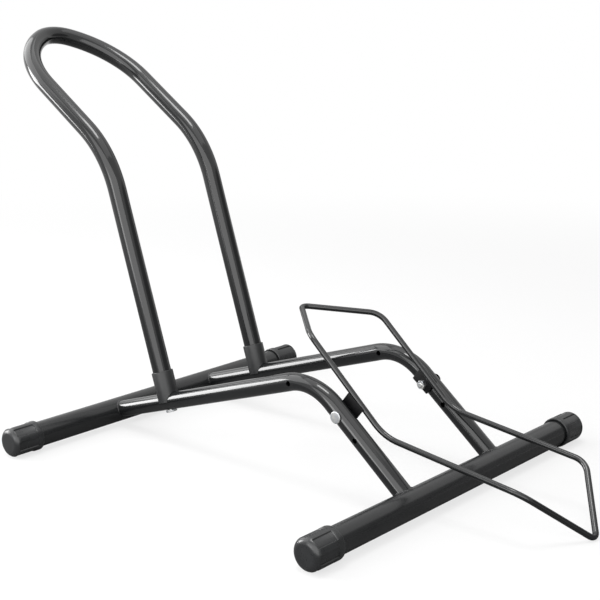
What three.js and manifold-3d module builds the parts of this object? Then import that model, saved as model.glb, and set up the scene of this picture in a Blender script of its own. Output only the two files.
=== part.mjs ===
// Floor rack for one bicycle: two cross tubes on rubber caps, two bent side tubes, a tall hoop that
// holds the wheel upright, and a rocker of bent wire that tips when the wheel rolls in.
// Millimetres, +Z up, floor at z = 0. The wheel rolls in along +Y; X runs across the rack.
import * as THREE from "three";
import { mergeVertices } from "three/addons/utils/BufferGeometryUtils.js";
import Module from "manifold-3d";

// ---- driving dimensions ----
const weldGap = 0.3; // between a piece and the neighbour it is welded to or seated on
const slipFit = 0.3; // radial play of a sleeve, cap or bore on what it holds

const crossDiameter = 32; // tubes that lie across the rack
const crossWall = 1.5;
const crossSpacing = 495; // between the axes of the two cross tubes
const rackWidth = 527; // over the outer faces of the caps

const capWall = 3;
const capLength = 42.5;
const capEndRadius = 8;
const capRimChamfer = 1;
const panelCount = 6; // sunk panels round a cap, with a land at the floor
const panelAngle = 38; // degrees that one panel spans
const panelTurn = 5.8; // degrees that the panels are turned forward from level
const panelDepth = 1.5;
const panelFromEnd = 5;
const panelFromRim = 8;

const sideDiameter = 22; // bent tubes that join the cross tubes
const sideWall = 1.5;
const sideSpacing = 170; // between the planes of the two side tubes
const sideBendAhead = 104; // bend corner, forward of mid-rack
const sideBendHeight = 134.5;
const sideBendRadius = 74;
const sideBendSqueeze = 0.1; // share of its depth that the tube loses in the bend

const pivotAlong = 56; // from the bend corner down the front leg to the pivot bolt
const lowerHoleAlong = 91;
const upperHoleAlong = 31; // from the bend corner back along the rear leg
const boltDiameter = 6;
const boltPlay = 0.25; // radial clearance of a bolt in its hole

const hoopDiameter = 24;
const hoopWall = 1.5;
const hoopFootAlong = 110; // from the rear cross tube's axis along the side tube
const hoopLegLength = 331; // side tube's axis to the knee corner
const hoopKneeTurn = 38.3; // degrees
const hoopKneeRadius = 147;
const hoopUpperLength = 213; // knee corner to the corner where the sides draw in
const hoopTopRise = 52; // from there to the corner over the middle
const hoopSideRadius = 120;
const hoopTopRadius = 50;

const socketWall = 1.7;
const socketHeight = 40; // from the side tube's axis to the rim
const legEndHeight = 13; // where the hoop's leg ends inside the socket
const insertLength = 30; // threaded plug in the end of the leg
const insertDepth = 1; // its face behind the end of the leg
const hoopBoltReach = 14; // thread in the plug

const wireDiameter = 7;
const wireWidth = 132.4; // between the rocker's two rails
const railAbovePivot = 16; // from the pivot's axis to the rail's
const railUpper = 102; // from the pivot's foot on the rail to the corner of the rear V
const railLower = 48; // and to the bend over the front cross tube
const rearVeeTurn = 33.6; // degrees that the rear V is bent off the rail
const rearVeeReach = 72.6;
const frontArmTurn = 35; // degrees that the front arms are bent off the rail
const frontArmLength = 183.4;
const frontVeeTurn = 40; // degrees that the front V is bent down off its arms
const frontVeeReach = 77.9;
const railBendRadius = 60;
const veeBendRadius = 28;
const veeTipRadius = 9;
const floorGap = 0.3; // under the tip of the front V, which lies on the floor at rest

const plateThickness = 2.5; // plate on the outer flank of the rail, bored for the pivot bolt
const plateUpper = 15.5; // from the pivot towards the rear V
const plateLower = 11.5; // and towards the front
const plateAbovePivot = 17;
const plateBelowPivot = 6;
const plateTilt = 4; // degrees that the plate's edges lean from the rail
const plateCorner = 0.6;
const washerDiameter = 14;

const boltHeadDiameter = 14.5;
const pivotHeadHeight = 1.5;
const hoopHeadHeight = 2.6;
const boltHeadDome = 0.6;
const hexSocketFlats = 4;
const hexSocketDepth = 1.8;
const nutFlats = 10;
const nutHeight = 5;
const nutChamfer = 0.8;
const threadBeyondNut = 1;

// facets round each kind of section
const crossSides = 32;
const sideSides = 20;
const hoopSides = 18;
const wireSides = 12;
const boltSides = 14;
const capSides = 32;
const sleeveSides = 20;

// ---- what follows from them ----
const crossRadius = crossDiameter / 2;
const capRadius = crossRadius + capWall;
const axisHeight = capRadius; // the caps stand on the floor
const rearY = crossSpacing / 2;
const frontY = -crossSpacing / 2;
const sideRadius = sideDiameter / 2;
const sideX = sideSpacing / 2;
const hoopRadius = hoopDiameter / 2;
const wireRadius = wireDiameter / 2;
const railX = wireWidth / 2;
const boltRadius = boltDiameter / 2;
const rad = THREE.MathUtils.degToRad;
const vec = (x, y, z) => new THREE.Vector3(x, y, z);

const wasm = await Module();
wasm.setup();

// ---- solids ----
function toSolid(geometry) {
  const bare = geometry.index ? geometry.toNonIndexed() : geometry.clone();
  for (const name of Object.keys(bare.attributes)) {
    if (name !== "position") bare.deleteAttribute(name);
  }
  const merged = mergeVertices(bare, 1e-4);
  return new wasm.Manifold(
    new wasm.Mesh({
      numProp: 3,
      vertProperties: new Float32Array(merged.attributes.position.array),
      triVerts: new Uint32Array(merged.index.array),
    }),
  );
}

function toGeometry(solid) {
  const mesh = solid.getMesh();
  const geometry = new THREE.BufferGeometry();
  geometry.setAttribute("position", new THREE.BufferAttribute(mesh.vertProperties, 3));
  geometry.setIndex(new THREE.BufferAttribute(mesh.triVerts, 1));
  geometry.computeVertexNormals();
  return geometry;
}

// A solid round bar from one point to another.
function bar(from, to, radius, sides = boltSides) {
  const length = from.distanceTo(to);
  const geometry = new THREE.CylinderGeometry(radius, radius, length, sides);
  const along = to.clone().sub(from).normalize();
  geometry.applyQuaternion(new THREE.Quaternion().setFromUnitVectors(vec(0, 1, 0), along));
  const middle = from.clone().lerp(to, 0.5);
  geometry.translate(middle.x, middle.y, middle.z);
  return toSolid(geometry);
}

// A profile of [radius, height] pairs turned about an axis that starts at a point.
function turned(profile, from, along, sides = boltSides, firstEdge = 0) {
  const points = profile.map(([radius, height]) => new THREE.Vector2(radius, height));
  const geometry = new THREE.LatheGeometry(points, sides, firstEdge);
  geometry.applyQuaternion(new THREE.Quaternion().setFromUnitVectors(vec(0, 1, 0), along));
  geometry.translate(from.x, from.y, from.z);
  return toSolid(geometry);
}

// A six-sided bar of the given width across its flats.
function hexPrism(flats, height, from, along) {
  const geometry = new THREE.CylinderGeometry(flats / Math.sqrt(3), flats / Math.sqrt(3), height, 6);
  geometry.translate(0, height / 2, 0);
  geometry.applyQuaternion(new THREE.Quaternion().setFromUnitVectors(vec(0, 1, 0), along));
  geometry.translate(from.x, from.y, from.z);
  return toSolid(geometry);
}

// A quarter turn of an edge, as [radius, height] pairs from one level to the next.
function roundedEdge(centreRadius, centreHeight, radius, startAngle, endAngle, steps) {
  return Array.from({ length: steps + 1 }, (_, i) => {
    const angle = rad(startAngle + ((endAngle - startAngle) * i) / steps);
    return [centreRadius + radius * Math.cos(angle), centreHeight + radius * Math.sin(angle)];
  });
}

// Centre line of a bent tube: straight runs between corners, each corner rounded to its radius.
// Stations lie only where the tube turns, so straight runs stay plain.
class BentPath extends THREE.Curve {
  constructor(corners, radii, stepAngle, closed = false) {
    super();
    this.closed = closed;
    this.stations = [];
    const count = corners.length;
    for (let i = 0; i < count; i++) {
      const isEnd = !closed && (i === 0 || i === count - 1);
      if (isEnd) {
        const other = corners[i === 0 ? 1 : count - 2];
        const outward = other.clone().sub(corners[i]).normalize();
        if (i > 0) outward.negate();
        this.stations.push({ point: corners[i], tangent: outward, bend: 0 });
        continue;
      }
      const before = corners[(i + count - 1) % count].clone().sub(corners[i]).normalize();
      const after = corners[(i + 1) % count].clone().sub(corners[i]).normalize();
      const turn = Math.PI - before.angleTo(after);
      const inset = radii[i] * Math.tan(turn / 2);
      const start = corners[i].clone().addScaledVector(before, inset);
      const forward = before.clone().negate();
      const inward = before.clone().add(after).normalize();
      inward.addScaledVector(forward, -inward.dot(forward)).normalize();
      const steps = Math.max(2, Math.ceil(turn / rad(stepAngle)));
      for (let k = 0; k <= steps; k++) {
        const angle = (turn * k) / steps;
        const point = start
          .clone()
          .addScaledVector(forward, radii[i] * Math.sin(angle))
          .addScaledVector(inward, radii[i] * (1 - Math.cos(angle)));
        const tangent = forward
          .clone()
          .multiplyScalar(Math.cos(angle))
          .addScaledVector(inward, Math.sin(angle));
        this.stations.push({ point, tangent, bend: Math.sin((Math.PI * k) / steps) });
      }
    }
    this.steps = closed ? this.stations.length : this.stations.length - 1;
  }

  place(u) {
    const at = Math.round(u * this.steps);
    return this.stations[this.closed ? at % this.stations.length : at];
  }

  getPoint(u, target = vec(0, 0, 0)) {
    return target.copy(this.place(u).point);
  }

  getPointAt(u, target) {
    return this.getPoint(u, target);
  }

  getTangentAt(u, target = vec(0, 0, 0)) {
    return target.copy(this.place(u).tangent);
  }
}

function ringShape(outer, inner, sides) {
  const round = (radius) =>
    Array.from({ length: sides }, (_, i) => {
      const angle = (2 * Math.PI * i) / sides;
      return new THREE.Vector2(radius * Math.cos(angle), radius * Math.sin(angle));
    });
  const shape = new THREE.Shape(round(outer));
  if (inner > 0) shape.holes.push(new THREE.Path(round(inner).reverse()));
  return shape;
}

function sweep(path, outer, inner, sides) {
  return new THREE.ExtrudeGeometry(ringShape(outer, inner, sides), {
    steps: path.steps,
    extrudePath: path,
    bevelEnabled: false,
  });
}

// A bent tube loses a little depth in the plane of its bend, across the given axis.
function squeezeBends(geometry, path, share, across) {
  const position = geometry.attributes.position;
  const vertex = vec(0, 0, 0);
  for (let i = 0; i < position.count; i++) {
    vertex.fromBufferAttribute(position, i);
    let station = null;
    let nearest = Infinity;
    for (const candidate of path.stations) {
      const offset = vertex.clone().sub(candidate.point);
      const distance = Math.abs(offset.dot(candidate.tangent)) * 100 + offset.length();
      if (distance < nearest) {
        nearest = distance;
        station = candidate;
      }
    }
    const depth = across.clone().cross(station.tangent).normalize();
    const height = vertex.clone().sub(station.point).dot(depth);
    vertex.addScaledVector(depth, -height * share * station.bend);
    position.setXYZ(i, vertex.x, vertex.y, vertex.z);
  }
  return geometry;
}

// ---- places that pieces share ----
const rearFoot = [rearY, axisHeight];
const bendCorner = [-sideBendAhead, sideBendHeight];
const frontFoot = [frontY, axisHeight];

// A point on a line from one [y, z] place towards another.
function along(from, to, distance) {
  const length = Math.hypot(to[0] - from[0], to[1] - from[1]);
  return [
    from[0] + ((to[0] - from[0]) * distance) / length,
    from[1] + ((to[1] - from[1]) * distance) / length,
  ];
}

function step(from, angle, distance) {
  return [from[0] + distance * Math.cos(angle), from[1] + distance * Math.sin(angle)];
}

const pivot = along(bendCorner, frontFoot, pivotAlong);
const lowerHole = along(bendCorner, frontFoot, lowerHoleAlong);
const hoopFoot = along(rearFoot, bendCorner, hoopFootAlong);
// The hoop's leg stands square on the rear leg of the side tube.
const sideRise = Math.atan2(sideBendHeight - axisHeight, sideBendAhead + rearY);
const legAngle = Math.PI / 2 - sideRise;
const upperAngle = legAngle - rad(hoopKneeTurn);
const legUp = vec(0, Math.cos(legAngle), Math.sin(legAngle));

// The upper spare hole lies in the bend, so it is set on the bend's own arc.
function upperHolePlace(path) {
  const target = along(bendCorner, rearFoot, upperHoleAlong);
  const places = path.stations.slice(1, -1).map((station) => [station.point.y, station.point.z]);
  places.unshift(rearFoot);
  for (let i = 1; i < places.length; i++) {
    const [a, b] = [places[i - 1], places[i]];
    if (target[0] <= a[0] && target[0] >= b[0]) {
      const share = (a[0] - target[0]) / (a[0] - b[0]);
      return [target[0], a[1] + (b[1] - a[1]) * share];
    }
  }
  return target;
}

const at = (x, [y, z]) => vec(x, y, z);

// ---- frame ----
function crossTube(y) {
  const half = rackWidth / 2 - capWall - weldGap;
  const path = new BentPath([vec(-half, y, axisHeight), vec(half, y, axisHeight)], [], 10);
  return toSolid(sweep(path, crossRadius, crossRadius - crossWall, crossSides));
}

// A cup of rubber over the end of a cross tube, with sunk panels round it. Its facets are measured
// over their flats, and one of them lies on the floor.
function endCap(y, side) {
  const bore = crossRadius + slipFit;
  const profile = [
    [0, 0],
    ...roundedEdge(capRadius - capEndRadius, capEndRadius, capEndRadius, -90, 0, 5),
    [capRadius, capLength - capRimChamfer],
    [capRadius - capRimChamfer, capLength],
    [bore, capLength],
    [bore, capWall],
    [0, capWall],
  ];
  const inward = vec(-side, 0, 0);
  const outerFace = vec((side * rackWidth) / 2, y, axisHeight);
  const halfFacet = Math.PI / capSides;
  const overFlats = profile.map(([radius, height]) => [radius / Math.cos(halfFacet), height]);
  let cap = turned(overFlats, outerFace, inward, capSides, halfFacet);
  const panelLength = capLength - panelFromEnd - panelFromRim;
  const half = rad(panelAngle / 2);
  for (let i = 0; i < panelCount; i++) {
    const middle = (2 * Math.PI * (i + 0.5)) / panelCount - side * rad(panelTurn);
    const sector = new THREE.Shape();
    sector.absarc(0, 0, capRadius + capWall, middle - half, middle + half, false);
    sector.absarc(0, 0, capRadius - panelDepth, middle + half, middle - half, true);
    const geometry = new THREE.ExtrudeGeometry(sector, {
      depth: panelLength,
      bevelEnabled: false,
      curveSegments: 4,
    });
    geometry.rotateY((side * -Math.PI) / 2);
    const start = vec(outerFace.x - side * panelFromEnd, y, axisHeight);
    geometry.translate(start.x, start.y, start.z);
    cap = cap.subtract(toSolid(geometry));
  }
  return cap;
}

function sidePath(side) {
  const corners = [at(side * sideX, rearFoot), at(side * sideX, bendCorner), at(side * sideX, frontFoot)];
  return new BentPath(corners, [0, sideBendRadius, 0], 7.2);
}

// A bent tube, coped at both ends to sit on the cross tubes, with the holes for the rocker and hoop.
function sideTube(side) {
  const path = sidePath(side);
  const geometry = sweep(path, sideRadius, sideRadius - sideWall, sideSides);
  let tube = toSolid(squeezeBends(geometry, path, sideBendSqueeze, vec(1, 0, 0)));
  for (const foot of [rearFoot, frontFoot]) {
    const [from, to] = [at((side - 1) * sideX - sideX, foot), at((side + 1) * sideX + sideX, foot)];
    tube = tube.subtract(bar(from, to, crossRadius + weldGap, crossSides));
  }
  const holeRadius = boltRadius + boltPlay;
  for (const hole of [pivot, lowerHole, upperHolePlace(path)]) {
    const [from, to] = [at(side * sideX - sideDiameter, hole), at(side * sideX + sideDiameter, hole)];
    tube = tube.subtract(bar(from, to, holeRadius, boltSides));
  }
  const seat = at(side * sideX, hoopFoot);
  const below = seat.clone().addScaledVector(legUp, -sideDiameter);
  const above = seat.clone().addScaledVector(legUp, sideDiameter);
  return tube.subtract(bar(below, above, holeRadius, boltSides));
}

// A short sleeve round the hoop's leg, hollowed at its foot to sit on the side tube.
function hoopSocket(side) {
  const seat = at(side * sideX, hoopFoot);
  const bore = hoopRadius + slipFit;
  const profile = [
    [bore, 0],
    [bore + socketWall, 0],
    [bore + socketWall, socketHeight - 0.6],
    [bore + socketWall - 0.6, socketHeight],
    [bore, socketHeight],
    [bore, 0],
  ];
  const sleeve = turned(profile, seat, legUp, sleeveSides);
  const axis = vec(0, Math.cos(sideRise), -Math.sin(sideRise));
  const from = seat.clone().addScaledVector(axis, -2 * sideDiameter);
  const to = seat.clone().addScaledVector(axis, 2 * sideDiameter);
  return sleeve.subtract(bar(from, to, sideRadius + weldGap, sleeveSides));
}

function hoopPath() {
  const knee = step(hoopFoot, legAngle, hoopLegLength);
  const shoulder = step(knee, upperAngle, hoopUpperLength);
  const top = step(shoulder, upperAngle, hoopTopRise);
  const legEnd = step(hoopFoot, legAngle, legEndHeight);
  const corners = [
    at(-sideX, legEnd),
    at(-sideX, knee),
    at(-sideX, shoulder),
    at(0, top),
    at(sideX, shoulder),
    at(sideX, knee),
    at(sideX, legEnd),
  ];
  const radii = [0, hoopKneeRadius, hoopSideRadius, hoopTopRadius, hoopSideRadius, hoopKneeRadius, 0];
  return new BentPath(corners, radii, 10);
}

function hoop() {
  return toSolid(sweep(hoopPath(), hoopRadius, hoopRadius - hoopWall, hoopSides));
}

// A threaded steel plug fixed in the end of the hoop's leg.
function hoopInsert(side) {
  const from = at(side * sideX, step(hoopFoot, legAngle, legEndHeight + insertDepth));
  const outer = hoopRadius - hoopWall - slipFit;
  const inner = boltRadius + boltPlay;
  const profile = [
    [inner, 0],
    [outer - 0.8, 0],
    [outer, 0.8],
    [outer, insertLength],
    [inner, insertLength],
    [inner, 0],
  ];
  return turned(profile, from, legUp, sleeveSides);
}

// ---- fasteners ----
// A bolt with a low round head, whose flat underside lies at the seat.
function bolt(seat, shankWay, length, headTop) {
  const headRadius = boltHeadDiameter / 2;
  const shank = bar(seat, seat.clone().addScaledVector(shankWay, length), boltRadius);
  const headWay = shankWay.clone().negate();
  const profile = [
    [0, 0],
    [headRadius, 0],
    [headRadius, headTop - boltHeadDome],
    [headRadius - boltHeadDome * 0.7, headTop - boltHeadDome * 0.3],
    [headRadius - boltHeadDome * 2, headTop],
    [0, headTop],
  ];
  return shank.add(turned(profile, seat, headWay, sleeveSides));
}

// Bolt from below through the side tube into the plug in the hoop's leg.
function hoopBolt(side) {
  const seat = at(side * sideX, step(hoopFoot, legAngle, -(sideRadius + weldGap)));
  const length = sideRadius + weldGap + legEndHeight + insertDepth + hoopBoltReach;
  const headWay = legUp.clone().negate();
  const socketFloor = seat.clone().addScaledVector(headWay, hoopHeadHeight - hexSocketDepth);
  const socket = hexPrism(hexSocketFlats, hexSocketDepth + 1, socketFloor, headWay);
  return bolt(seat, legUp, length, hoopHeadHeight).subtract(socket);
}

// Stack at a pivot, from outside in: bolt head, side tube, washer, rocker plate, nut.
const headSeatX = sideX + sideRadius + weldGap;
const washerOuterX = sideX - sideRadius - weldGap;
const plateInnerX = railX + wireRadius + weldGap;
const plateOuterX = plateInnerX + plateThickness;
const nutOuterX = plateInnerX - weldGap;
const boltEndX = nutOuterX - nutHeight - threadBeyondNut;

function pivotBolt(side) {
  const inward = vec(-side, 0, 0);
  return bolt(at(side * headSeatX, pivot), inward, headSeatX - boltEndX, pivotHeadHeight);
}

function pivotWasher(side) {
  const inner = boltRadius + boltPlay;
  const thickness = washerOuterX - (plateOuterX + weldGap);
  const profile = [
    [inner, 0],
    [washerDiameter / 2, 0],
    [washerDiameter / 2, thickness],
    [inner, thickness],
    [inner, 0],
  ];
  return turned(profile, at(side * washerOuterX, pivot), vec(-side, 0, 0), sleeveSides);
}

// A six-sided nut whose corners are turned off at its outer face.
function pivotNut(side) {
  const inward = vec(-side, 0, 0);
  const from = at(side * nutOuterX, pivot);
  const body = hexPrism(nutFlats, nutHeight, from, inward);
  const corner = nutFlats / Math.sqrt(3);
  const turnedOff = [
    [0, 0],
    [corner + 1, 0],
    [corner + 1, nutHeight - nutChamfer],
    [nutFlats / 2, nutHeight],
    [0, nutHeight],
  ];
  const bore = bar(at(side * sideX, pivot), vec(0, pivot[0], pivot[1]), boltRadius + boltPlay);
  return body.intersect(turned(turnedOff, from, inward, sleeveSides)).subtract(bore);
}

// ---- rocker ----
// Corners of the bent wire in the rocker's own plane, [along the rail, above the pivot].
const rearCorner = [railUpper, railAbovePivot];
const railBend = [-railLower, railAbovePivot];
const rearTip = step(rearCorner, -rad(rearVeeTurn), rearVeeReach);
const frontCorner = step(railBend, Math.PI - rad(frontArmTurn), frontArmLength);
const frontVeeAngle = Math.PI - rad(frontArmTurn) + rad(frontVeeTurn);
const frontTip = step(frontCorner, frontVeeAngle, frontVeeReach);

// The rocker hangs from its pivot with the round tip of the front V on the floor.
function restAngle() {
  const veeHalf = Math.atan2(railX, frontVeeReach);
  const tipInset = veeTipRadius * (1 / Math.sin(veeHalf) - 1);
  const tip = step(frontTip, frontVeeAngle, -tipInset);
  const reach = Math.hypot(tip[0], tip[1]);
  const drop = pivot[1] - wireRadius - floorGap;
  return Math.PI + Math.asin(drop / reach) - Math.atan2(tip[1], tip[0]);
}

const railAngle = restAngle();

// Carries a place in the rocker's plane to [y, z] at rest.
function placeOnRocker([u, v]) {
  return step(step(pivot, railAngle, u), railAngle + Math.PI / 2, v);
}

function wirePath() {
  const [rear, bend, front] = [rearCorner, railBend, frontCorner].map(placeOnRocker);
  const corners = [
    at(0, placeOnRocker(rearTip)),
    at(-railX, rear),
    at(-railX, bend),
    at(-railX, front),
    at(0, placeOnRocker(frontTip)),
    at(railX, front),
    at(railX, bend),
    at(railX, rear),
  ];
  const down = [veeTipRadius, veeBendRadius, railBendRadius, veeBendRadius];
  return new BentPath(corners, [...down, veeTipRadius, ...down.slice(1).reverse()], 13, true);
}

function rockerWire() {
  const path = wirePath();
  return toSolid(new THREE.TubeGeometry(path, path.steps, wireRadius, wireSides, true));
}

// A flat plate welded to the outer flank of the rail, bored for the pivot bolt.
function rockerPlate(side) {
  const outline = new THREE.Shape();
  outline.moveTo(-plateLower, plateAbovePivot);
  outline.lineTo(-plateLower, -plateBelowPivot + plateCorner);
  outline.lineTo(-plateLower + plateCorner, -plateBelowPivot);
  outline.lineTo(plateUpper - plateCorner, -plateBelowPivot);
  outline.lineTo(plateUpper, -plateBelowPivot + plateCorner);
  outline.lineTo(plateUpper, plateAbovePivot);
  outline.closePath();
  const geometry = new THREE.ExtrudeGeometry(outline, { depth: plateThickness, bevelEnabled: false });
  geometry.translate(0, 0, -plateThickness / 2);
  const plateAngle = railAngle - rad(plateTilt);
  const turn = new THREE.Matrix4().makeBasis(
    vec(0, Math.cos(plateAngle), Math.sin(plateAngle)),
    vec(0, -Math.sin(plateAngle), Math.cos(plateAngle)),
    vec(1, 0, 0),
  );
  geometry.applyMatrix4(turn);
  geometry.translate((side * (plateInnerX + plateOuterX)) / 2, pivot[0], pivot[1]);
  const bore = bar(at(0, pivot), at(side * 2 * sideX, pivot), boltRadius + boltPlay);
  return toSolid(geometry).subtract(bore);
}

// ---- assembly ----
const paint = { color: "#1d1e20", roughness: 0.28, metalness: 0.0 };
const rubber = { color: "#2b2c2e", roughness: 0.72, metalness: 0.0 };
const sleevePlastic = { color: "#27282a", roughness: 0.5, metalness: 0.0 };
const wirePaint = { color: "#242527", roughness: 0.34, metalness: 0.0 };
const zinc = { color: "#c9cbcd", roughness: 0.3, metalness: 1.0 };
const blackSteel = { color: "#17181a", roughness: 0.45, metalness: 0.0 };

const rack = new THREE.Group();
rack.name = "bike_rack";

function addPiece(name, solid, material) {
  const mesh = new THREE.Mesh(toGeometry(solid), new THREE.MeshStandardMaterial(material));
  mesh.name = name;
  rack.add(mesh);
}

addPiece("front_cross_tube", crossTube(frontY), paint);
addPiece("rear_cross_tube", crossTube(rearY), paint);
addPiece("hoop", hoop(), paint);
addPiece("rocker_wire", rockerWire(), wirePaint);
for (const [side, hand] of [[-1, "left"], [1, "right"]]) {
  addPiece(`front_cap_${hand}`, endCap(frontY, side), rubber);
  addPiece(`rear_cap_${hand}`, endCap(rearY, side), rubber);
  addPiece(`side_tube_${hand}`, sideTube(side), paint);
  addPiece(`hoop_socket_${hand}`, hoopSocket(side), sleevePlastic);
  addPiece(`hoop_insert_${hand}`, hoopInsert(side), zinc);
  addPiece(`hoop_bolt_${hand}`, hoopBolt(side), zinc);
  addPiece(`rocker_plate_${hand}`, rockerPlate(side), blackSteel);
  addPiece(`pivot_bolt_${hand}`, pivotBolt(side), zinc);
  addPiece(`pivot_washer_${hand}`, pivotWasher(side), zinc);
  addPiece(`pivot_nut_${hand}`, pivotNut(side), zinc);
}

// The origin lies on the floor under the middle of the whole rack.
const extent = new THREE.Box3().setFromObject(rack);
rack.position.y = -(extent.min.y + extent.max.y) / 2;

export default rack;
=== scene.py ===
import math

import bmesh
import bpy
from mathutils import Matrix, Vector


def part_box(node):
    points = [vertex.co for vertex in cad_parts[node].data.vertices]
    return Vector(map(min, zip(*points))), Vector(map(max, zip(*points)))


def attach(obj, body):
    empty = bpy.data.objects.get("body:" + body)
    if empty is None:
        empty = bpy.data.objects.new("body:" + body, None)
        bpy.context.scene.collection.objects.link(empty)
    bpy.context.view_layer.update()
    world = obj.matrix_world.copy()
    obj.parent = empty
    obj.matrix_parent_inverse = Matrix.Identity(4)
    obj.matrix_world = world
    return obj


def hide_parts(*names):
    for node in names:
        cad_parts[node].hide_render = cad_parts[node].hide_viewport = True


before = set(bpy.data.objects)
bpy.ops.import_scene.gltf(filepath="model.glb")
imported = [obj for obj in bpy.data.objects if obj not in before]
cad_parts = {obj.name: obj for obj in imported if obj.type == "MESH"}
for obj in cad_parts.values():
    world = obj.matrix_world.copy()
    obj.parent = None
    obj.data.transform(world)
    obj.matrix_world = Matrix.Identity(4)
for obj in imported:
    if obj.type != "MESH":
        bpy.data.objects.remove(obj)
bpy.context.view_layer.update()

# Floor rack for one bicycle. The wheel rolls in along +Y, X runs across the rack and z = 0 is the floor.
# The rack's lengths are in millimetres and become metres when a piece is finished; the stage is in metres.

mm = 0.001


def toLinear(hexColour):
    channels = [int(hexColour[i:i + 2], 16) / 255 for i in (1, 3, 5)]
    linear = [c / 12.92 if c <= 0.04045 else ((c + 0.055) / 1.055) ** 2.4 for c in channels]
    return (*linear, 1.0)


def addNode(tree, kind, values=None, links=None, **settings):
    node = tree.nodes.new(kind)
    for key, value in settings.items():
        setattr(node, key, value)
    for key, value in (values or {}).items():
        node.inputs[key].default_value = value
    for key, source in (links or {}).items():
        tree.links.new(source, node.inputs[key])
    return node


def newMaterial(name):
    material = bpy.data.materials.new(name)
    material.use_nodes = True
    material.node_tree.nodes.clear()
    return material, material.node_tree


noiseSpread = (0.3, 0.7)  # most of a noise's values lie between these


def surfaceFinish(name, look):
    # One recipe for paint, rubber and plastic: cloudy colour and gloss, and a fine relief of the surface.
    material, tree = newMaterial(name)
    place = addNode(tree, "ShaderNodeTexCoord").outputs["Object"]
    cloud = addNode(tree, "ShaderNodeTexNoise", {"Scale": 1 / (look["cloud"] * mm), "Detail": 3.0},
                    {"Vector": place})
    grain = addNode(tree, "ShaderNodeTexNoise", {"Scale": 1 / (look["grain"] * mm), "Detail": 2.0},
                    {"Vector": place})
    colour = addNode(tree, "ShaderNodeValToRGB", links={"Fac": cloud.outputs["Fac"]})
    colour.color_ramp.elements[0].position = noiseSpread[0]
    colour.color_ramp.elements[0].color = toLinear(look["dark"])
    colour.color_ramp.elements[1].position = noiseSpread[1]
    colour.color_ramp.elements[1].color = toLinear(look["light"])
    gloss = addNode(tree, "ShaderNodeMapRange",
                    {"From Min": noiseSpread[0], "From Max": noiseSpread[1],
                     "To Min": look["roughness"][0], "To Max": look["roughness"][1]},
                    {"Value": cloud.outputs["Fac"]})
    relief = addNode(tree, "ShaderNodeBump", {"Strength": look["relief"], "Distance": look["depth"] * mm},
                     {"Height": grain.outputs["Fac"]})
    shader = addNode(tree, "ShaderNodeBsdfPrincipled", {"IOR": look["ior"]},
                     {"Base Color": colour.outputs["Color"], "Roughness": gloss.outputs["Result"],
                      "Normal": relief.outputs["Normal"]})
    if "shine" in look:
        shader.inputs["Specular IOR Level"].default_value = look["shine"]
    addNode(tree, "ShaderNodeOutputMaterial", links={"Surface": shader.outputs["BSDF"]})
    return material


# Gloss black powder coat: polyester powder melted on hot steel tube. It flows out to a deep gloss with a faint
# orange peel, whose waves are about 5 mm long.
glossPowderCoat = surfaceFinish("gloss_powder_coat", {
    "dark": "#161718", "light": "#1b1c1d", "roughness": (0.09, 0.12), "cloud": 60, "grain": 5,
    "relief": 0.05, "depth": 0.05, "ior": 1.5,
})

# The same powder on the wide cross tubes, a little softer in its gloss. Its colour is painted a little lighter
# than on the other tubes: painted light, standing in for the brighter reflections on these tubes.
crossPowderCoatPaintedLight = surfaceFinish("cross_tube_powder_coat_painted_light", {
    "dark": "#1c1d1e", "light": "#222324", "roughness": (0.2, 0.24), "cloud": 60, "grain": 5,
    "relief": 0.05, "depth": 0.05, "ior": 1.5,
})

# The same powder on thin wire: the waves of the peel are shorter there. Its colour is painted a little darker
# than on the tubes: painted shade, standing in for the darker sides of the thin wire.
wirePowderCoatPaintedShade = surfaceFinish("wire_powder_coat_painted_shade", {
    "dark": "#131415", "light": "#18191a", "roughness": (0.13, 0.17), "cloud": 30, "grain": 3,
    "relief": 0.04, "depth": 0.04, "ior": 1.5,
})

# Cut plate: matt and near black, far darker than the tubes, with little shine.
platePaint = surfaceFinish("matt_plate_paint", {
    "dark": "#060607", "light": "#0b0b0c", "roughness": (0.5, 0.6), "cloud": 12, "grain": 0.8,
    "relief": 0.15, "depth": 0.04, "ior": 1.45, "shine": 0.25,
})

# Moulded black rubber: the mould's spark-eroded face leaves a fine matt grain, drawn at 0.9 mm so that it
# shows.
mouldedRubber = surfaceFinish("moulded_rubber", {
    "dark": "#232425", "light": "#2b2c2d", "roughness": (0.25, 0.31), "cloud": 18, "grain": 0.9,
    "relief": 0.1, "depth": 0.05, "ior": 1.5,
})

# Injection moulded polypropylene: satin, with a faint haze along the flow of the melt.
mouldedSleeve = surfaceFinish("moulded_polypropylene", {
    "dark": "#191a1b", "light": "#1f2021", "roughness": (0.34, 0.42), "cloud": 20, "grain": 1.0,
    "relief": 0.15, "depth": 0.04, "ior": 1.49,
})


# the last colour is painted shade: near black for a bolt head that lies in shadow
zinc = {"cloud": 5, "grain": 0.5, "ramp": (0.35, 0.65), "roughness": (0.42, 0.52), "relief": 0.15,
        "depth": 0.02, "paintedShadeHead": "#101011"}


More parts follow.
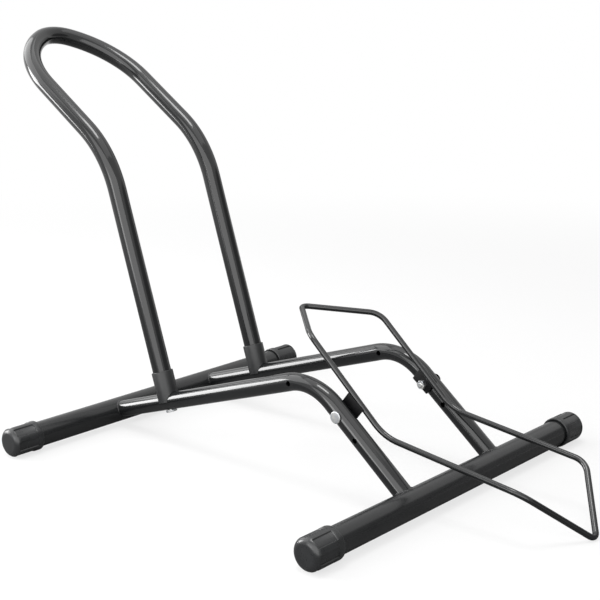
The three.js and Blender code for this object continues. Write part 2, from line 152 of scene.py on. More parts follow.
def zincPlate(name, dark, light, shadeBeyond=None):
    # Zinc plate: steel plated in a zinc bath and then passivated, with a faint cloud in its colour. A head that
    # lies further along X than the given limit is painted near black: painted shade for a head in shadow.
    material, tree = newMaterial(name)
    place = addNode(tree, "ShaderNodeTexCoord").outputs["Object"]
    cloud = addNode(tree, "ShaderNodeTexNoise", {"Scale": 1 / (zinc["cloud"] * mm), "Detail": 3.0},
                    {"Vector": place})
    grain = addNode(tree, "ShaderNodeTexNoise", {"Scale": 1 / (zinc["grain"] * mm), "Detail": 2.0},
                    {"Vector": place})
    colour = addNode(tree, "ShaderNodeValToRGB", links={"Fac": cloud.outputs["Fac"]})
    colour.color_ramp.elements[0].position = zinc["ramp"][0]
    colour.color_ramp.elements[0].color = toLinear(dark)
    colour.color_ramp.elements[1].position = zinc["ramp"][1]
    colour.color_ramp.elements[1].color = toLinear(light)
    finish = colour.outputs["Color"]
    # painted shade: near black beyond the limit along X
    if shadeBeyond:
        across = addNode(tree, "ShaderNodeSeparateXYZ", links={"Vector": place}).outputs["X"]
        onHead = addNode(tree, "ShaderNodeMath", {1: shadeBeyond * mm}, {0: across}, operation="GREATER_THAN")
        finish = addNode(tree, "ShaderNodeMixRGB", {"Color2": toLinear(zinc["paintedShadeHead"])},
                         {"Fac": onHead.outputs["Value"], "Color1": finish}).outputs["Color"]
    gloss = addNode(tree, "ShaderNodeMapRange",
                    {"From Min": noiseSpread[0], "From Max": noiseSpread[1],
                     "To Min": zinc["roughness"][0], "To Max": zinc["roughness"][1]},
                    {"Value": cloud.outputs["Fac"]})
    relief = addNode(tree, "ShaderNodeBump", {"Strength": zinc["relief"], "Distance": zinc["depth"] * mm},
                     {"Height": grain.outputs["Fac"]})
    shader = addNode(tree, "ShaderNodeBsdfPrincipled", {"Metallic": 1.0},
                     {"Base Color": finish, "Roughness": gloss.outputs["Result"],
                      "Normal": relief.outputs["Normal"]})
    addNode(tree, "ShaderNodeOutputMaterial", links={"Surface": shader.outputs["BSDF"]})
    return material


silvery = ("#b9bdc2", "#cbcac6")
brightZinc = zincPlate("bright_zinc_plate", *silvery)  # clear passivated
blackZinc = zincPlate("black_zinc_plate", "#1d1e20", "#28292a")  # black passivated, as the washers are
# the right-hand pivot bolt's head is painted near black: painted shade for a head in shadow
zincWithPaintedShadeHead = zincPlate("zinc_plate_with_painted_shade_head", *silvery, shadeBeyond=96)
print("materials made")


mergeWithin = 0.001
tolerance = 0.1  # for finding a ring of vertices by its place
beyond = 5  # a cutter's length past the piece


def mirrored(point):
    return Vector((-point.x, point.y, point.z))


def turnTo(direction):
    # the turn from +Z to a direction
    return Vector((0, 0, 1)).rotation_difference(direction).to_matrix().to_4x4()


def ringAt(bm, centre, direction, radius, sides):
    made = bmesh.ops.create_circle(bm, segments=sides, radius=radius,
                                   matrix=Matrix.Translation(centre) @ turnTo(direction))
    return list({edge for vert in made["verts"] for edge in vert.link_edges})


def drawOut(bm, ring, by, runStep):
    steps = max(1, round(by.length / runStep))
    for _ in range(steps):
        made = bmesh.ops.extrude_edge_only(bm, edges=ring)
        verts = [g for g in made["geom"] if isinstance(g, bmesh.types.BMVert)]
        bmesh.ops.translate(bm, verts=verts, vec=by / steps)
        fresh = set(verts)
        ring = [e for e in {e for v in verts for e in v.link_edges} if set(e.verts) <= fresh]
    return ring


def bendRound(bm, ring, centre, axis, angle, bendStep):
    steps = max(2, math.ceil(math.degrees(angle) / bendStep))
    verts = list({v for e in ring for v in e.verts})
    made = bmesh.ops.spin(bm, geom=verts + ring, cent=centre, axis=axis, angle=angle, steps=steps)
    return [g for g in made["geom_last"] if isinstance(g, bmesh.types.BMEdge)]


def bendAt(before, corner, after, radius):
    into = (corner - before).normalized()
    out = (after - corner).normalized()
    turn = into.angle(out)
    axis = into.cross(out).normalized()
    start = corner - into * radius * math.tan(turn / 2)
    centre = start + axis.cross(into) * radius
    return into, start, centre, axis, turn


def bentTube(corners, bends, radius, sides, runStep=8, bendStep=3, mirrorStart=False, mirrorEnd=False):
    # Draws a ring along straight runs and round the bends, as a bending machine does. A mirrored end stops in
    # the middle of its bend, on the rack's plane of symmetry.
    bm = bmesh.new()
    last = len(corners) - 1
    ring, here = None, None
    for i, corner in enumerate(corners):
        if i == 0 and not mirrorStart:
            ring, here = ringAt(bm, corner, corners[1] - corner, radius, sides), corner
            continue
        if i == last and not mirrorEnd:
            drawOut(bm, ring, corner - here, runStep)
            break
        before = corners[i - 1] if i > 0 else mirrored(corners[1])
        after = corners[i + 1] if i < last else mirrored(corners[last - 1])
        into, start, centre, axis, turn = bendAt(before, corner, after, bends[i])
        share = turn / 2 if i in (0, last) else turn
        if i == 0:
            half = Matrix.Rotation(turn / 2, 3, axis)
            ring = ringAt(bm, centre + half @ (start - centre), half @ into, radius, sides)
        else:
            ring = drawOut(bm, ring, start - here, runStep)
        ring = bendRound(bm, ring, centre, axis, share, bendStep)
        here = centre + Matrix.Rotation(turn, 3, axis) @ (start - centre)
    return bm


def mirrorAcross(bm, seam=0.01):
    geom = bm.verts[:] + bm.edges[:] + bm.faces[:]
    bmesh.ops.mirror(bm, geom=geom, matrix=Matrix.Identity(4), merge_dist=seam, axis="X")
    bmesh.ops.remove_doubles(bm, verts=bm.verts, dist=seam)
    return bm


def roundBar(start, end, radius, sides=48):
    bm = bmesh.new()
    place = Matrix.Translation((start + end) / 2) @ turnTo(end - start)
    bmesh.ops.create_cone(bm, cap_ends=True, segments=sides, radius1=radius, radius2=radius,
                          depth=(end - start).length, matrix=place)
    return bm


def hexBar(start, direction, flats, height):
    bm = bmesh.new()
    place = Matrix.Translation(start + direction * height / 2) @ turnTo(direction)
    bmesh.ops.create_cone(bm, cap_ends=True, segments=6, radius1=flats / math.sqrt(3),
                          radius2=flats / math.sqrt(3), depth=height, matrix=place)
    return bm


def turned(profile, origin, direction, sides=64):
    # Spins a profile of (radius, height) pairs about an axis.
    bm = bmesh.new()
    verts = [bm.verts.new((radius, 0, height)) for radius, height in profile]
    edges = [bm.edges.new(pair) for pair in zip(verts, verts[1:])]
    bmesh.ops.spin(bm, geom=verts + edges, cent=(0, 0, 0), axis=(0, 0, 1), angle=2 * math.pi,
                   steps=sides, use_merge=True)
    bmesh.ops.remove_doubles(bm, verts=bm.verts, dist=mergeWithin)
    bmesh.ops.recalc_face_normals(bm, faces=bm.faces)
    bmesh.ops.transform(bm, matrix=Matrix.Translation(origin) @ turnTo(direction), verts=bm.verts)
    return bm


def soften(bm, offset, segments=2, sharperThan=30, where=lambda edge: True):
    edges = [e for e in bm.edges if len(e.link_faces) == 2
             and math.degrees(e.calc_face_angle(0)) > sharperThan and where(e)]
    bmesh.ops.bevel(bm, geom=edges, offset=offset, offset_type="OFFSET", segments=segments, profile=0.5,
                    affect="EDGES", clamp_overlap=True, material=-1)
    return bm


def looseObject(bm):
    bmesh.ops.recalc_face_normals(bm, faces=bm.faces)
    mesh = bpy.data.meshes.new("loose")
    bm.to_mesh(mesh)
    bm.free()
    loose = bpy.data.objects.new("loose", mesh)
    bpy.context.scene.collection.objects.link(loose)
    return loose


def combined(bm, others, operation="DIFFERENCE", wall=0):
    # Gives an open tube its wall, then cuts the other shapes away or keeps what is common to all.
    target = looseObject(bm)
    tools = [looseObject(other) for other in others]
    if wall:
        thick = target.modifiers.new("wall", "SOLIDIFY")
        thick.thickness = wall
        thick.offset = -1
        thick.use_even_offset = True
    for tool in tools:
        cutter = target.modifiers.new("cut", "BOOLEAN")
        cutter.operation = operation
        cutter.solver = "EXACT"
        cutter.object = tool
    graph = bpy.context.evaluated_depsgraph_get()
    cutMesh = bpy.data.meshes.new_from_object(target.evaluated_get(graph))
    result = bmesh.new()
    result.from_mesh(cutMesh)
    bpy.data.meshes.remove(cutMesh)
    for loose in [target, *tools]:
        mesh = loose.data
        bpy.data.objects.remove(loose)
        bpy.data.meshes.remove(mesh)
    return result


def finishPiece(bm, name, body, material, nodes=(), sharp=35):
    bmesh.ops.scale(bm, vec=(mm, mm, mm), verts=bm.verts)
    mesh = bpy.data.meshes.new(name)
    bm.to_mesh(mesh)
    bm.free()
    mesh.shade_smooth()
    mesh.set_sharp_from_angle(angle=math.radians(sharp))
    mesh.materials.append(material)
    piece = bpy.data.objects.new(name, mesh)
    bpy.context.scene.collection.objects.link(piece)
    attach(piece, body)
    if nodes:
        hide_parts(*nodes)
    return piece


def middleOf(node):
    low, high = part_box(node)
    return (Vector(low) + Vector(high)) / 2 / mm


def at(x, place):
    return Vector((x, place[0], place[1]))


def along(start, end, distance):
    return Vector(start) + (Vector(end) - Vector(start)).normalized() * distance


def step(start, angle, distance):
    return Vector(start) + distance * Vector((math.cos(angle), math.sin(angle)))


rearMiddle = middleOf("rear_cross_tube")
frontMiddle = middleOf("front_cross_tube")
axisHeight = rearMiddle.z
rearFoot = (rearMiddle.y, axisHeight)
frontFoot = (frontMiddle.y, axisHeight)
midRack = (rearMiddle.y + frontMiddle.y) / 2
hands = {"left": -1, "right": 1}

gap = 0.3  # between a piece and what it is welded to or seated on

crossTube = {"radius": 16, "wall": 1.5, "half": 260.2, "sides": 96, "runStep": 20}
sideTube = {"radius": 11, "wall": 1.5, "x": 85, "bendAhead": 104, "bendHeight": 134.5, "bend": 74,
            "squeeze": 0.1, "sides": 72, "runStep": 6, "pivotAlong": 56, "lowerHole": 91, "upperHole": 31,
            "hole": 3.25, "holeSides": 32, "copeReach": 40}
bendCorner = (midRack - sideTube["bendAhead"], sideTube["bendHeight"])
pivot = along(bendCorner, frontFoot, sideTube["pivotAlong"])
sideRise = math.atan2(bendCorner[1] - axisHeight, rearFoot[0] - bendCorner[0])


def makeCrossTube(node, y):
    start, end = Vector((-crossTube["half"], y, axisHeight)), Vector((crossTube["half"], y, axisHeight))
    bm = bentTube([start, end], [0, 0], crossTube["radius"], crossTube["sides"], crossTube["runStep"])
    bm = combined(bm, [], wall=crossTube["wall"])
    finishPiece(bm, node + "_fine", "frame", crossPowderCoatPaintedLight, [node])


makeCrossTube("front_cross_tube", frontMiddle.y)
makeCrossTube("rear_cross_tube", rearMiddle.y)

cap = {"radius": 19, "bore": 16.3, "wall": 3, "length": 42.5, "endRound": 8, "endSteps": (9, 3),
       "rimRound": 1, "sides": 180, "panels": 6, "panelAngle": 38, "panelTurn": 5.8, "panelStart": 5,
       "panelEnd": 34.5, "panelDepth": 1.5, "panelSlope": 0.4, "edge": 0.3}


def arc(centre, radius, start, end, steps):
    # (radius, height) pairs on a quarter round, by angles in degrees
    angles = [math.radians(start + (end - start) * i / steps) for i in range(steps + 1)]
    return [(centre[0] + radius * math.cos(a), centre[1] + radius * math.sin(a)) for a in angles]


def makeCap(node, y, side):
    # The round nose has a ring of vertices where the panels begin, so that a panel is a patch of whole faces.
    nose = cap["endRound"]
    heart = (cap["radius"] - nose, nose)
    panelRing = -math.degrees(math.asin((nose - cap["panelStart"]) / nose))
    before, after = cap["endSteps"]
    profile = [(0, 0), *arc(heart, nose, -90, panelRing, before), *arc(heart, nose, panelRing, 0, after)[1:],
               (cap["radius"], cap["panelEnd"]), (cap["radius"], cap["length"]),
               (cap["bore"], cap["length"]), (cap["bore"], cap["wall"]), (0, cap["wall"])]
    bm = turned(profile, Vector((0, 0, 0)), Vector((0, 0, 1)), cap["sides"])
    rim = cap["length"] - tolerance
    soften(bm, cap["rimRound"], 3, where=lambda edge: all(v.co.z > rim for v in edge.verts))
    half = cap["panelAngle"] / 2
    middles = [(i + 0.5) * 360 / cap["panels"] - side * cap["panelTurn"] for i in range(cap["panels"])]
    facet = 360 / cap["sides"]
    bmesh.ops.rotate(bm, verts=bm.verts, cent=(0, 0, 0),
                     matrix=Matrix.Rotation(math.radians((middles[0] - half) % facet), 3, "Z"))
    for middle in middles:
        faces = []
        for face in bm.faces:
            centre = face.calc_center_median()
            angle = math.degrees(math.atan2(centre.y, centre.x))
            away = abs((angle - middle + 180) % 360 - 180)
            outside = math.hypot(centre.x, centre.y) > cap["bore"] + 1
            if outside and away < half and cap["panelStart"] < centre.z < cap["panelEnd"]:
                faces.append(face)
        bmesh.ops.inset_region(bm, faces=faces, thickness=cap["panelSlope"], use_boundary=True,
                               use_even_offset=True)
        for vert in {v for face in faces for v in face.verts}:
            sunk = (cap["radius"] - cap["panelDepth"]) / math.hypot(vert.co.x, vert.co.y)
            vert.co.x, vert.co.y = vert.co.x * sunk, vert.co.y * sunk
    lowest, highest = cap["panelStart"] - tolerance, cap["panelEnd"] + tolerance
    deepest = cap["radius"] - cap["panelDepth"] - tolerance
    soften(bm, cap["edge"], 2, sharperThan=40, where=lambda edge: all(
        lowest < v.co.z < highest and math.hypot(v.co.x, v.co.y) > deepest for v in edge.verts))
    low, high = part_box(node)
    outer = Vector(((low if side < 0 else high)[0] / mm, y, axisHeight))
    turn = Matrix.Rotation(-side * math.pi / 2, 4, "Y")
    bmesh.ops.transform(bm, matrix=Matrix.Translation(outer) @ turn, verts=bm.verts)
    finishPiece(bm, node + "_fine", "frame", mouldedRubber, [node])


for hand, side in hands.items():
    makeCap("front_cap_" + hand, frontMiddle.y, side)
    makeCap("rear_cap_" + hand, rearMiddle.y, side)
print("cross tubes and caps made")


def squeezeBend(bm, start, centre, axis, turn, radius, share):
    # A bent tube ovals a little, most in the middle of its bend.
    for vert in bm.verts:
        arm = vert.co - centre
        arm -= axis * arm.dot(axis)
        reach = math.atan2(axis.dot((start - centre).cross(arm)), (start - centre).dot(arm))
        if 0 < reach < turn:
            keep = 1 - share * math.sin(math.pi * reach / turn)
            vert.co += arm.normalized() * (arm.length - radius) * (keep - 1)


def makeSideTube(hand, side):
    x = side * sideTube["x"]
    corners = [at(x, rearFoot), at(x, bendCorner), at(x, frontFoot)]
    bends = [0, sideTube["bend"], 0]
    bm = bentTube(corners, bends, sideTube["radius"], sideTube["sides"], sideTube["runStep"])
    _, start, centre, axis, turn = bendAt(*corners, sideTube["bend"])
    squeezeBend(bm, start, centre, axis, turn, sideTube["bend"], sideTube["squeeze"])
    reach = 2 * sideTube["radius"]
    upper = along(bendCorner, rearFoot, sideTube["upperHole"])
    upper = Vector((upper[0], centre.z + math.sqrt(sideTube["bend"] ** 2 - (upper[0] - centre.y) ** 2)))
    lower = along(bendCorner, frontFoot, sideTube["lowerHole"])
    cope, sides = sideTube["copeReach"], sideTube["holeSides"]
    cutters = [roundBar(at(x - cope, foot), at(x + cope, foot), crossTube["radius"] + gap, crossTube["sides"])
               for foot in (rearFoot, frontFoot)]
    cutters += [roundBar(at(x - reach, hole), at(x + reach, hole), sideTube["hole"], sides)
                for hole in (pivot, lower, upper)]
    seat = at(x, hoopFoot)
    cutters.append(roundBar(seat - legUp * reach, seat + legUp * reach, sideTube["hole"], sides))
    bm = combined(bm, cutters, wall=sideTube["wall"])
    node = "side_tube_" + hand
    finishPiece(bm, node + "_fine", "frame", glossPowderCoat, [node])


hoop = {"radius": 12, "wall": 1.5, "sides": 72, "footAlong": 110, "legLength": 331, "kneeTurn": 38.3,
        "kneeBend": 147, "upperLength": 213, "topRise": 52, "shoulderBend": 120, "topBend": 50,
        "legEnd": 13}
hoopFoot = along(rearFoot, bendCorner, hoop["footAlong"])
legAngle = math.pi / 2 - sideRise
upperAngle = legAngle - math.radians(hoop["kneeTurn"])
legUp = Vector((0, math.cos(legAngle), math.sin(legAngle)))

for hand, side in hands.items():
    makeSideTube(hand, side)
print("side tubes made")

weld = {"radius": 1.0, "out": 0.2, "ripple": 0.1, "pitch": 1.7, "sides": 240, "section": 12}


def makeWeld(name, x, foot, towards):
    # A bead round the coped end of a side tube: a thin ring let down onto the cross tube.
    bm = bmesh.new()
    ringRadius = sideTube["radius"] + weld["out"]
    made = bmesh.ops.create_circle(bm, segments=weld["section"], radius=weld["radius"],
                                   matrix=Matrix.Translation((ringRadius, 0, 0))
                                   @ Matrix.Rotation(math.pi / 2, 4, "X"))
    edges = list({e for v in made["verts"] for e in v.link_edges})
    bmesh.ops.spin(bm, geom=made["verts"] + edges, cent=(0, 0, 0), axis=(0, 0, 1), angle=2 * math.pi,
                   steps=weld["sides"], use_merge=True)
    bmesh.ops.remove_doubles(bm, verts=bm.verts, dist=mergeWithin)
    waves = round(2 * math.pi * ringRadius / weld["pitch"])
    for vert in bm.verts:
        angle = math.atan2(vert.co.y, vert.co.x)
        swell = 1 + weld["ripple"] * math.sin(waves * angle)
        heart = Vector((math.cos(angle), math.sin(angle), 0)) * ringRadius
        vert.co = heart + (vert.co - heart) * swell
        vert.co.z += math.sqrt(crossTube["radius"] ** 2 - vert.co.y ** 2) + weld["out"]
    bmesh.ops.recalc_face_normals(bm, faces=bm.faces)
    up = (at(0, towards) - at(0, foot)).normalized()
    across = Vector((1, 0, 0))
    turn = Matrix((across, up.cross(across), up)).transposed().to_4x4()
    bmesh.ops.transform(bm, matrix=Matrix.Translation(at(x, foot)) @ turn, verts=bm.verts)
    finishPiece(bm, name, "frame", glossPowderCoat, sharp=80)


for hand, side in hands.items():
    makeWeld("rear_weld_" + hand, side * sideTube["x"], rearFoot, bendCorner)
    makeWeld("front_weld_" + hand, side * sideTube["x"], frontFoot, bendCorner)


def makeHoop():
    knee = step(hoopFoot, legAngle, hoop["legLength"])
    shoulder = step(knee, upperAngle, hoop["upperLength"])
    top = step(shoulder, upperAngle, hoop["topRise"])
    x = -sideTube["x"]
    corners = [at(x, step(hoopFoot, legAngle, hoop["legEnd"])), at(x, knee), at(x, shoulder), at(0, top)]
    bends = [0, hoop["kneeBend"], hoop["shoulderBend"], hoop["topBend"]]
    bm = mirrorAcross(bentTube(corners, bends, hoop["radius"], hoop["sides"], mirrorEnd=True))
    bm = combined(bm, [], wall=hoop["wall"])
    finishPiece(bm, "hoop_fine", "frame", glossPowderCoat, ["hoop"])


makeHoop()

socket = {"wall": 1.7, "height": 40, "rimRound": 0.7, "sides": 96, "copeReach": 40}


def makeSocket(hand, side):
    seat = at(side * sideTube["x"], hoopFoot)
    bore = hoop["radius"] + gap
    outer = bore + socket["wall"]
    profile = [(bore, 0), (outer, 0), (outer, socket["height"]), (bore, socket["height"]), (bore, 0)]
    bm = turned(profile, seat, legUp, socket["sides"])
    rim = (seat + legUp * socket["height"]).dot(legUp) - tolerance
    soften(bm, socket["rimRound"], 3, where=lambda edge: all(v.co.dot(legUp) > rim for v in edge.verts))
    reach = Vector((0, math.cos(sideRise), -math.sin(sideRise))) * socket["copeReach"]
    tool = roundBar(seat - reach, seat + reach, sideTube["radius"] + gap, sideTube["sides"])
    node = "hoop_socket_" + hand
    finishPiece(combined(bm, [tool]), node + "_fine", "frame", mouldedSleeve, [node])


bolt = {"radius": 3, "play": 0.25, "headRadius": 7.25, "pivotHead": 1.5, "hoopHead": 2.6, "dome": 0.6,
        "underEdge": 0.2, "hexFlats": 4, "hexDepth": 1.8, "hoopReach": 28, "tip": (0.7, 0.8), "pitch": 1.0,
        "threadDepth": 0.3, "threads": 9, "sides": 48}

# The head's rounded rim, as shares of its dome inwards and down, and one turn of thread, as shares of its
# depth and its pitch.
headRim = [(2, 0), (1.1, 0.12), (0.45, 0.4), (0.1, 0.8), (0, 1.3)]
threadTurn = [(0, 0), (0, 0.2), (1, 0.5), (1, 0.7)]


def makeBolt(node, seat, into, length, headHeight, hexSocket, plated=brightZinc):
    # Turned from its head to its tip; the last turns of the shank carry thread ridges.
    radius, headRadius, pitch = bolt["radius"], bolt["headRadius"], bolt["pitch"]
    tipIn, tipLength = bolt["tip"]
    profile = [(0, -headHeight)]
    profile += [(headRadius - inwards * bolt["dome"], -headHeight + down * bolt["dome"])
                for inwards, down in headRim]
    profile += [(headRadius, -bolt["underEdge"]), (headRadius - bolt["underEdge"], 0), (radius, 0)]
    start = length - tipLength - bolt["threads"] * pitch
    for turn in range(bolt["threads"]):
        level = start + turn * pitch
        profile += [(radius - depth * bolt["threadDepth"], level + share * pitch)
                    for depth, share in threadTurn]
    profile += [(radius, length - tipLength), (radius - tipIn, length), (0, length)]
    bm = turned(profile, seat, into, bolt["sides"])
    if hexSocket:
        floor = seat - into * (headHeight - bolt["hexDepth"])
        bm = combined(bm, [hexBar(floor, -into, bolt["hexFlats"], bolt["hexDepth"] + 1)])
    finishPiece(bm, node + "_fine", "frame", plated, [node], sharp=25)


for hand, side in hands.items():
    makeSocket(hand, side)
    x = side * sideTube["x"]
    under = sideTube["radius"] + gap
    makeBolt("hoop_bolt_" + hand, at(x, hoopFoot) - legUp * under, legUp, under + bolt["hoopReach"],
             bolt["hoopHead"], True)
print("hoop, sockets and bolts made")


wire = {"radius": 3.5, "railX": 66.2, "sides": 40, "railAbove": 16, "railUpper": 102, "railLower": 48,
        "rearTurn": 33.6, "rearReach": 72.6, "armTurn": 35, "armLength": 183.4, "veeTurn": 40,
        "veeReach": 77.9, "railBend": 60, "veeBend": 28, "tipBend": 9}
plate = {"thick": 2.5, "upper": 15.5, "lower": 11.5, "above": 17, "below": 6, "tilt": 4, "corner": 0.6,
         "bore": 3.25, "edge": 0.25}
nut = {"flats": 10, "height": 5, "chamfer": 0.8, "seatIn": 0.7, "seatHeight": 0.45, "blankOver": 0.1,
       "threadBeyond": 1, "sides": 96}
washer = {"radius": 7, "edge": 0.15}

plateInner = wire["railX"] + wire["radius"] + gap
plateOuter = plateInner + plate["thick"]
nutOuter = plateInner - gap
headSeat = sideTube["x"] + sideTube["radius"] + gap


def makeNut(hand, side):
    inward = Vector((-side, 0, 0))
    start = at(side * nutOuter, pivot)
    corner, height = nut["flats"] / math.sqrt(3), nut["height"]
    widest = corner + nut["blankOver"]
    # a turned blank with both ends chamfered, cut to a hexagon, as nuts are
    blank = turned([(0, 0), (corner - nut["seatIn"], 0), (widest, nut["seatHeight"]),
                    (widest, height - nut["chamfer"]), (nut["flats"] / 2, height), (0, height)],
                   start, inward, nut["sides"])
    bm = combined(hexBar(start, inward, nut["flats"], height), [blank], "INTERSECT")
    hole = roundBar(start - inward * beyond, start + inward * (height + beyond), bolt["radius"] + bolt["play"])
    node = "pivot_nut_" + hand
    finishPiece(combined(bm, [hole]), node + "_fine", "frame", brightZinc, [node], sharp=25)


def makeWasher(hand, side):
    start = sideTube["x"] - sideTube["radius"] - gap
    thick = start - plateOuter - gap
    bore, outer = bolt["radius"] + bolt["play"], washer["radius"]
    profile = [(bore, 0), (outer, 0), (outer, thick), (bore, thick), (bore, 0)]
    bm = soften(turned(profile, at(side * start, pivot), Vector((-side, 0, 0))), washer["edge"])
    node = "pivot_washer_" + hand
    finishPiece(bm, node + "_fine", "frame", blackZinc, [node])


boltEnd = nutOuter - nut["height"] - nut["threadBeyond"]
for hand, side in hands.items():
    # the right-hand bolt gets the zinc whose head carries painted shade
    makeBolt("pivot_bolt_" + hand, at(side * headSeat, pivot), Vector((-side, 0, 0)), headSeat - boltEnd,
             bolt["pivotHead"], False, zincWithPaintedShadeHead if side > 0 else brightZinc)
    makeNut(hand, side)
    makeWasher(hand, side)
print("pivots made")


# Corners of the bent wire in the rocker's own plane: along the rail, above the pivot.
rearCorner = Vector((wire["railUpper"], wire["railAbove"]))
railBend = Vector((-wire["railLower"], wire["railAbove"]))
rearTip = step(rearCorner, -math.radians(wire["rearTurn"]), wire["rearReach"])
armAngle = math.pi - math.radians(wire["armTurn"])
frontCorner = step(railBend, armAngle, wire["armLength"])
veeAngle = armAngle + math.radians(wire["veeTurn"])
frontTip = step(frontCorner, veeAngle, wire["veeReach"])


def restAngle():
    # The rocker hangs from its pivot with the round tip of the front V on the floor.
    veeHalf = math.atan2(wire["railX"], wire["veeReach"])
    tip = step(frontTip, veeAngle, -wire["tipBend"] * (1 / math.sin(veeHalf) - 1))
    drop = pivot[1] - wire["radius"] - gap
    return math.pi + math.asin(drop / tip.length) - math.atan2(tip.y, tip.x)


railAngle = restAngle()


def onRocker(place):
    return step(step(pivot, railAngle, place[0]), railAngle + math.pi / 2, place[1])


def makeWire():
    x = -wire["railX"]
    corners = [at(0, onRocker(rearTip)), at(x, onRocker(rearCorner)), at(x, onRocker(railBend)),
               at(x, onRocker(frontCorner)), at(0, onRocker(frontTip))]
    bends = [wire["tipBend"], wire["veeBend"], wire["railBend"], wire["veeBend"], wire["tipBend"]]
    bm = bentTube(corners, bends, wire["radius"], wire["sides"], mirrorStart=True, mirrorEnd=True)
    bm = mirrorAcross(bm)
    bmesh.ops.recalc_face_normals(bm, faces=bm.faces)
    finishPiece(bm, "rocker_wire_fine", "rocker", wirePowderCoatPaintedShade, ["rocker_wire"])


def onPlate(place):
    # The plate's edges lean a little from the rail.
    angle = railAngle - math.radians(plate["tilt"])
    return step(step(pivot, angle, place[0]), angle + math.pi / 2, place[1])


def makePlate(hand, side):
    low, corner, top = -plate["below"], plate["corner"], plate["above"]
    outline = [(-plate["lower"], top), (-plate["lower"], low + corner), (-plate["lower"] + corner, low),
               (plate["upper"] - corner, low), (plate["upper"], low + corner), (plate["upper"], top)]
    bm = bmesh.new()
    face = bm.faces.new([bm.verts.new(at(side * plateInner, onPlate(p))) for p in outline])
    made = bmesh.ops.extrude_face_region(bm, geom=[face])
    bmesh.ops.translate(bm, vec=(side * plate["thick"], 0, 0),
                        verts=[g for g in made["geom"] if isinstance(g, bmesh.types.BMVert)])
    bmesh.ops.recalc_face_normals(bm, faces=bm.faces)
    soften(bm, plate["edge"])
    bore = roundBar(at(side * (plateInner - beyond), pivot), at(side * (plateOuter + beyond), pivot),
                    plate["bore"])
    node = "rocker_plate_" + hand
    finishPiece(combined(bm, [bore]), node + "_fine", "rocker", platePaint, [node], sharp=25)


makeWire()
for hand, side in hands.items():
    makePlate(hand, side)
print("rocker made")

# The threaded plugs stay as the frame's own nodes, out of sight in the hoop's legs.
for hand in hands:
    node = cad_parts["hoop_insert_" + hand]
    node.data.materials.clear()
    node.data.materials.append(brightZinc)


# The floor turns white between whiteFrom and whiteAt metres from the rack, whose middle is heart metres up.
studio = {"floorColour": "#888888", "floorGlow": 0.72, "whiteFrom": 0.8, "whiteAt": 2.2, "floorSize": 16,
          "skyLight": 0.12, "heart": 0.15, "cardRim": (0.3, 0.5)}


def seenDirectly(tree):
    # 1 for rays that show the background: those of the camera, of a reflection and through glass.
    path = addNode(tree, "ShaderNodeLightPath")
    either = addNode(tree, "ShaderNodeMath", operation="MAXIMUM",
                     links={0: path.outputs["Is Camera Ray"], 1: path.outputs["Is Glossy Ray"]})
    return addNode(tree, "ShaderNodeMath", operation="MAXIMUM",
                   links={0: either.outputs["Value"], 1: path.outputs["Is Transmission Ray"]}).outputs["Value"]


def mixShaders(tree, share, first, second):
    mix = addNode(tree, "ShaderNodeMixShader", links={0: share, 1: first, 2: second})
    return mix.outputs["Shader"]


def makeFloor():
    # A pale floor that fades to white away from the rack; near the rack it is matt and keeps the shadow. There
    # only the camera sees its glow, so that the undersides of the tubes reflect the unlit floor and stay dark.
    bm = bmesh.new()
    bmesh.ops.create_grid(bm, x_segments=1, y_segments=1, size=studio["floorSize"] / 2)
    mesh = bpy.data.meshes.new("floor")
    bm.to_mesh(mesh)
    bm.free()
    floor = bpy.data.objects.new("floor", mesh)
    bpy.context.scene.collection.objects.link(floor)
    material, tree = newMaterial("studio_floor")
    matt = addNode(tree, "ShaderNodeBsdfDiffuse", {"Color": toLinear(studio["floorColour"])}).outputs["BSDF"]
    glow = addNode(tree, "ShaderNodeEmission", {"Strength": studio["floorGlow"]}).outputs["Emission"]
    white = addNode(tree, "ShaderNodeEmission", {"Strength": 1.0}).outputs["Emission"]
    lit = addNode(tree, "ShaderNodeAddShader", links={0: matt, 1: glow}).outputs["Shader"]
    isCamera = addNode(tree, "ShaderNodeLightPath").outputs["Is Camera Ray"]
    near = mixShaders(tree, isCamera, matt, lit)
    place = addNode(tree, "ShaderNodeTexCoord").outputs["Object"]
    away = addNode(tree, "ShaderNodeVectorMath", operation="LENGTH", links={0: place}).outputs["Value"]
    far = addNode(tree, "ShaderNodeMapRange", {"From Min": studio["whiteFrom"], "From Max": studio["whiteAt"]},
                  {"Value": away}, interpolation_type="SMOOTHSTEP").outputs["Result"]
    shown = mixShaders(tree, far, near, white)
    addNode(tree, "ShaderNodeOutputMaterial",
            links={"Surface": mixShaders(tree, seenDirectly(tree), matt, shown)})
    mesh.materials.append(material)


def makeWorld():
    world = bpy.data.worlds.new("studio")
    bpy.context.scene.world = world
    world.use_nodes = True
    tree = world.node_tree
    tree.nodes.clear()
    light = addNode(tree, "ShaderNodeBackground", {"Color": (1, 1, 1, 1), "Strength": studio["skyLight"]})
    white = addNode(tree, "ShaderNodeBackground", {"Color": (1, 1, 1, 1), "Strength": 1.0})
    addNode(tree, "ShaderNodeOutputWorld",
            links={"Surface": mixShaders(tree, seenDirectly(tree), light.outputs["Background"],
                                         white.outputs["Background"])})


def roundTheRack(bearing, height, distance):
    # A place by its bearing from +X towards +Y and its height angle above the rack's middle, in degrees.
    turn, rise = math.radians(bearing), math.radians(height)
    return Vector((distance * math.cos(rise) * math.cos(turn), distance * math.cos(rise) * math.sin(turn),
                   studio["heart"] + distance * math.sin(rise)))


def facingRack(place):
    return (Vector((0, 0, studio["heart"])) - place).to_track_quat("-Z", "Y").to_matrix().to_4x4()


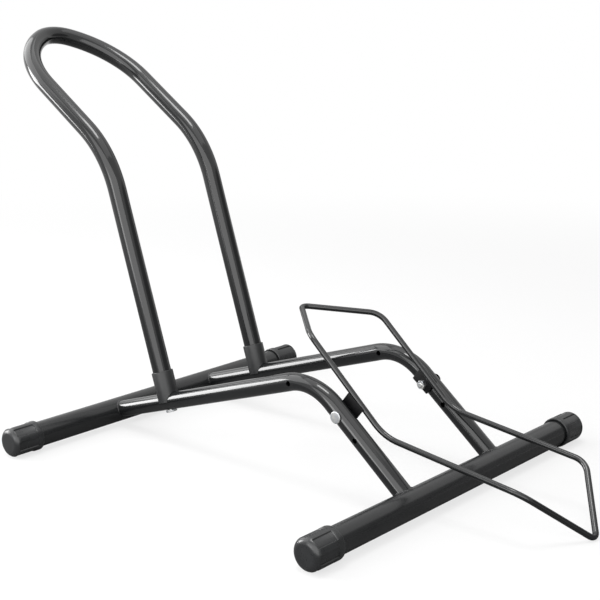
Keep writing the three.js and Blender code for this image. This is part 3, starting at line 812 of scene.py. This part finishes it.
# bearing, height angle, distance, size across and up, radiance
lamps = {
    "strip": (118, 11, 2.2, 0.86, 0.8, 13),
    "leftBox": (203, 24, 2.6, 4.5, 2.3, 2.1),
    "leftBand": (172, 9, 2.4, 0.6, 0.7, 3.5),
    "backBox": (110, 38, 2.6, 3.0, 1.9, 2.1),
    "top": (0, 90, 2.6, 3.0, 3.0, 1.0),
    "overhead": (180, 87, 2.4, 0.8, 0.7, 10),
}

# Grey cards with soft rims, seen by reflections alone: they keep the tubes' edges dark against the white. They
# are placed and sized as the lamps are, and the last value is their brightness.
cards = {
    "card_front": (306, 12, 2.5, 4.7, 2.0, 0.3),
    "card_behind": (28, 14, 2.8, 3.6, 1.8, 0.55),
}


def makeLamp(name, bearing, height, distance, across, up, radiance):
    data = bpy.data.lights.new(name, "AREA")
    data.shape = "RECTANGLE"
    data.size, data.size_y = across, up
    data.energy = radiance * math.pi * across * up
    lamp = bpy.data.objects.new(name, data)
    bpy.context.scene.collection.objects.link(lamp)
    place = roundTheRack(bearing, height, distance)
    lamp.matrix_world = Matrix.Translation(place) @ facingRack(place)


def makeCard(name, bearing, height, distance, across, up, strength):
    bm = bmesh.new()
    bm.loops.layers.uv.new("card")
    bmesh.ops.create_grid(bm, x_segments=1, y_segments=1, size=0.5, calc_uvs=True)
    place = roundTheRack(bearing, height, distance)
    bmesh.ops.scale(bm, vec=(across, up, 1), verts=bm.verts)
    bmesh.ops.transform(bm, matrix=Matrix.Translation(place) @ facingRack(place), verts=bm.verts)
    mesh = bpy.data.meshes.new(name)
    bm.to_mesh(mesh)
    bm.free()
    material, tree = newMaterial(name)
    spot = addNode(tree, "ShaderNodeUVMap", uv_map="card").outputs["UV"]
    fromHeart = addNode(tree, "ShaderNodeVectorMath", operation="DISTANCE",
                        values={1: (0.5, 0.5, 0)}, links={0: spot}).outputs["Value"]
    rimStart, rimEnd = studio["cardRim"]
    fade = addNode(tree, "ShaderNodeMapRange", {"From Min": rimStart, "From Max": rimEnd}, {"Value": fromHeart},
                   interpolation_type="SMOOTHSTEP").outputs["Result"]
    grey = addNode(tree, "ShaderNodeEmission", {"Color": (1, 1, 1, 1), "Strength": strength})
    clear = addNode(tree, "ShaderNodeBsdfTransparent")
    addNode(tree, "ShaderNodeOutputMaterial",
            links={"Surface": mixShaders(tree, fade, grey.outputs["Emission"], clear.outputs["BSDF"])})
    mesh.materials.append(material)
    card = bpy.data.objects.new(name, mesh)
    bpy.context.scene.collection.objects.link(card)
    card.visible_camera = False
    card.visible_diffuse = False
    card.visible_shadow = False


# place and aim in the rack's millimetres
camera = {"place": (-1139.9, -1043.37, 567.9), "aim": (7.34, -23.19, 194.17), "roll": -0.2, "lens": 75.918,
          "sensor": 36, "nearest": 0.05}


def makeCamera():
    data = bpy.data.cameras.new("camera")
    data.sensor_fit = "HORIZONTAL"
    data.sensor_width = camera["sensor"]
    data.lens = camera["lens"]
    data.clip_start = camera["nearest"]
    eye = bpy.data.objects.new("camera", data)
    bpy.context.scene.collection.objects.link(eye)
    place, aim = Vector(camera["place"]) * mm, Vector(camera["aim"]) * mm
    turn = (aim - place).to_track_quat("-Z", "Y").to_matrix().to_4x4()
    eye.matrix_world = (Matrix.Translation(place) @ turn
                        @ Matrix.Rotation(math.radians(camera["roll"]), 4, "Z"))
    bpy.context.scene.camera = eye


makeFloor()
makeWorld()
for name, lamp in lamps.items():
    makeLamp(name, *lamp)
for name, card in cards.items():
    makeCard(name, *card)
makeCamera()
bpy.context.scene.view_settings.view_transform = "Standard"
print("stage made")
